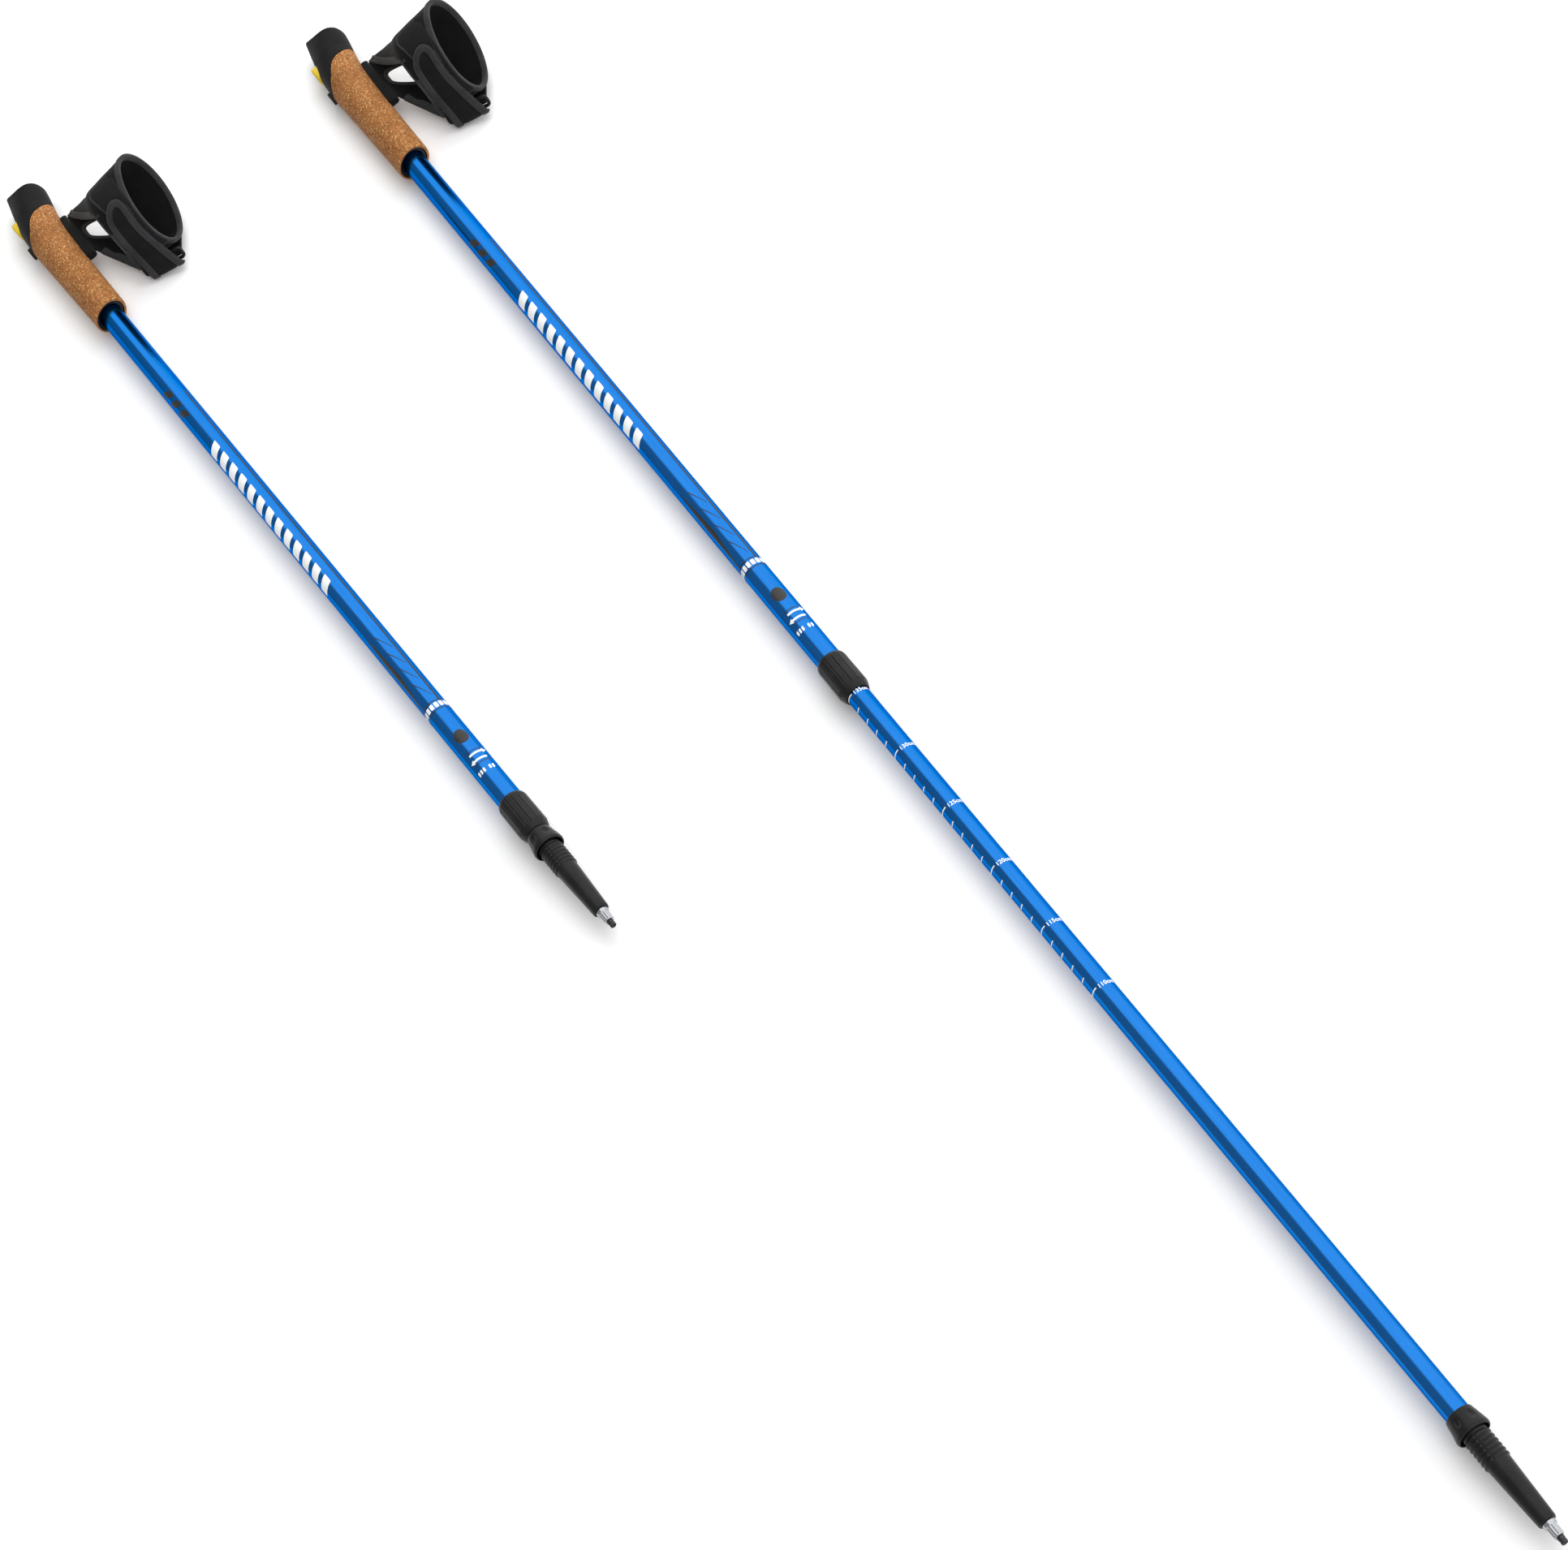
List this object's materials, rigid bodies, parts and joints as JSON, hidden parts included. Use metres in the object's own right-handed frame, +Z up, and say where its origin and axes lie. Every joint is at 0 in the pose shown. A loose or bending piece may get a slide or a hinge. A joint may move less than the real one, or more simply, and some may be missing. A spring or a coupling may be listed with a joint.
{
  "type": "pair of telescopic trekking poles",
  "caption": "Pair of telescopic twist-lock walking poles with cork grips, click-in wrist straps and metal tips: one pulled out, one pushed together.",
  "frame": {"origin": "on the floor under the middle of the bounding box of both poles", "axes": "+Z up, +Y along the pulled-out pole towards its grip, +X to the strap side of the grips"},
  "size_m": [0.328, 1.4154, 0.0636],
  "materials": {
    "grip_plastic": "matte moulded charcoal plastic with a fine grain",
    "cork": "pressed cork granules with light flecks, oiled",
    "core_plastic": "plain black moulded plastic",
    "button_yellow": "satin yellow moulded plastic",
    "spring_steel": "plain steel wire",
    "white_nylon": "natural nylon",
    "clip_plastic": "black moulded plastic",
    "strap_fabric": "black padded fabric with bound edges",
    "closure_fabric": "black webbing with bound edges, hook and loop face",
    "blue_tube": "bright blue anodised drawn tube",
    "collar_plastic": "satin black moulded plastic",
    "tip_plastic": "satin charcoal moulded plastic",
    "ferrule_chrome": "polished fluted steel",
    "carbide": "dark sintered carbide"
  },
  "bodies": {
    "long_handle": {"long_grip_head": "grip_plastic", "long_cork_grip": "cork", "long_grip_core": "core_plastic", "long_button_spring": "spring_steel", "long_upper_tube": "blue_tube", "long_lock_collar": "collar_plastic"},
    "long_button": {"long_release_button": "button_yellow"},
    "long_latch": {"long_strap_latch": "white_nylon"},
    "long_clip": {"long_strap_clip": "clip_plastic"},
    "long_strap": {"long_palm_strap": "strap_fabric", "long_wrist_cuff": "strap_fabric", "long_closure_web": "closure_fabric", "long_strap_loop": "clip_plastic"},
    "long_tab": {"long_closure_tab": "closure_fabric"},
    "long_expander": {"long_expander_sleeve": "white_nylon"},
    "long_cone": {"long_expander_cone": "white_nylon"},
    "long_shaft": {"long_lower_tube": "blue_tube", "long_tube_plug": "core_plastic", "long_lock_spindle": "spring_steel", "long_end_stop": "spring_steel", "long_tip_collar": "tip_plastic", "long_tip_body": "tip_plastic", "long_tip_ferrule": "ferrule_chrome", "long_carbide_tip": "carbide"},
    "short_handle": {"short_grip_head": "grip_plastic", "short_cork_grip": "cork", "short_grip_core": "core_plastic", "short_button_spring": "spring_steel", "short_upper_tube": "blue_tube", "short_lock_collar": "collar_plastic"},
    "short_button": {"short_release_button": "button_yellow"},
    "short_latch": {"short_strap_latch": "white_nylon"},
    "short_clip": {"short_strap_clip": "clip_plastic"},
    "short_strap": {"short_palm_strap": "strap_fabric", "short_wrist_cuff": "strap_fabric", "short_closure_web": "closure_fabric", "short_strap_loop": "clip_plastic"},
    "short_tab": {"short_closure_tab": "closure_fabric"},
    "short_expander": {"short_expander_sleeve": "white_nylon"},
    "short_cone": {"short_expander_cone": "white_nylon"},
    "short_shaft": {"short_lower_tube": "blue_tube", "short_tube_plug": "core_plastic", "short_lock_spindle": "spring_steel", "short_end_stop": "spring_steel", "short_tip_collar": "tip_plastic", "short_tip_body": "tip_plastic", "short_tip_ferrule": "ferrule_chrome", "short_carbide_tip": "carbide"}
  },
  "joints": [
    {"name": "long_button_press", "type": "slide", "parent": "long_handle", "child": "long_button", "axis": [1, 0, 0], "range_m": [0, 0.0025], "stiffness_N_per_m": 800, "springref_m": -0.002, "deforming": ["long_button_spring"]},
    {"name": "long_latch_lift", "type": "slide", "parent": "long_handle", "child": "long_latch", "axis": [0, 1, 0], "range_m": [0, 0.0025]},
    {"name": "long_strap_release", "type": "slide", "parent": "long_handle", "child": "long_clip", "axis": [1, 0, 0], "range_m": [0, 0.045]},
    {"name": "long_strap_swing", "type": "hinge", "parent": "long_clip", "child": "long_strap", "pos_m": [0.09885, 0.57003, 0.0135], "axis": [0, -1, 0], "range_deg": [0, 35]},
    {"name": "long_closure_peel", "type": "hinge", "parent": "long_strap", "child": "long_tab", "pos_m": [0.12804, 0.50228, 0.006], "axis": [0.9144, -0.3861, 0.1219], "range_deg": [0, 80]},
    {"name": "long_shaft_slide", "type": "slide", "parent": "long_handle", "child": "long_expander", "axis": [0, 1, 0], "range_m": [0, 0.562]},
    {"name": "long_shaft_twist", "type": "hinge", "parent": "long_expander", "child": "long_shaft", "pos_m": [0.07805, -0.05872, 0.0135], "axis": [0, 1, 0], "range_deg": [0, 540]},
    {"name": "long_cone_travel", "type": "slide", "parent": "long_expander", "child": "long_cone", "axis": [0, 1, 0], "range_m": [0, 0.0015]},
    {"name": "short_button_press", "type": "slide", "parent": "short_handle", "child": "short_button", "axis": [0.999, 0.0443, 0], "range_m": [0, 0.0025], "stiffness_N_per_m": 800, "springref_m": -0.002, "deforming": ["short_button_spring"]},
    {"name": "short_latch_lift", "type": "slide", "parent": "short_handle", "child": "short_latch", "axis": [-0.0443, 0.999, 0], "range_m": [0, 0.0025]},
    {"name": "short_strap_release", "type": "slide", "parent": "short_handle", "child": "short_clip", "axis": [0.999, 0.0443, 0], "range_m": [0, 0.045]},
    {"name": "short_strap_swing", "type": "hinge", "parent": "short_clip", "child": "short_strap", "pos_m": [-0.12642, 0.63564, 0.0135], "axis": [0.0443, -0.999, 0], "range_deg": [0, 35]},
    {"name": "short_closure_peel", "type": "hinge", "parent": "short_strap", "child": "short_tab", "pos_m": [-0.09425, 0.56925, 0.006], "axis": [0.9306, -0.3452, 0.1219], "range_deg": [0, 80]},
    {"name": "short_shaft_slide", "type": "slide", "parent": "short_handle", "child": "short_expander", "axis": [0.0443, -0.999, 0], "range_m": [0, 0.562]},
    {"name": "short_shaft_twist", "type": "hinge", "parent": "short_expander", "child": "short_shaft", "pos_m": [-0.11936, 0.00658, 0.0135], "axis": [-0.0443, 0.999, 0], "range_deg": [0, 540]},
    {"name": "short_cone_travel", "type": "slide", "parent": "short_expander", "child": "short_cone", "axis": [-0.0443, 0.999, 0], "range_m": [0, 0.0015]},
    {"name": "short_pole_move", "type": "slide", "parent": "long_handle", "child": "short_handle", "axis": [-1, 0, 0], "range_m": [0, 0.25]}
  ],
  "couplings": [
    {"joint": "long_latch_lift", "follows": "long_button_press", "ratio": 1},
    {"joint": "long_cone_travel", "follows": "long_shaft_twist", "m_per_rad": 0.000159},
    {"joint": "short_latch_lift", "follows": "short_button_press", "ratio": 1},
    {"joint": "short_cone_travel", "follows": "short_shaft_twist", "m_per_rad": 0.000159}
  ]
}
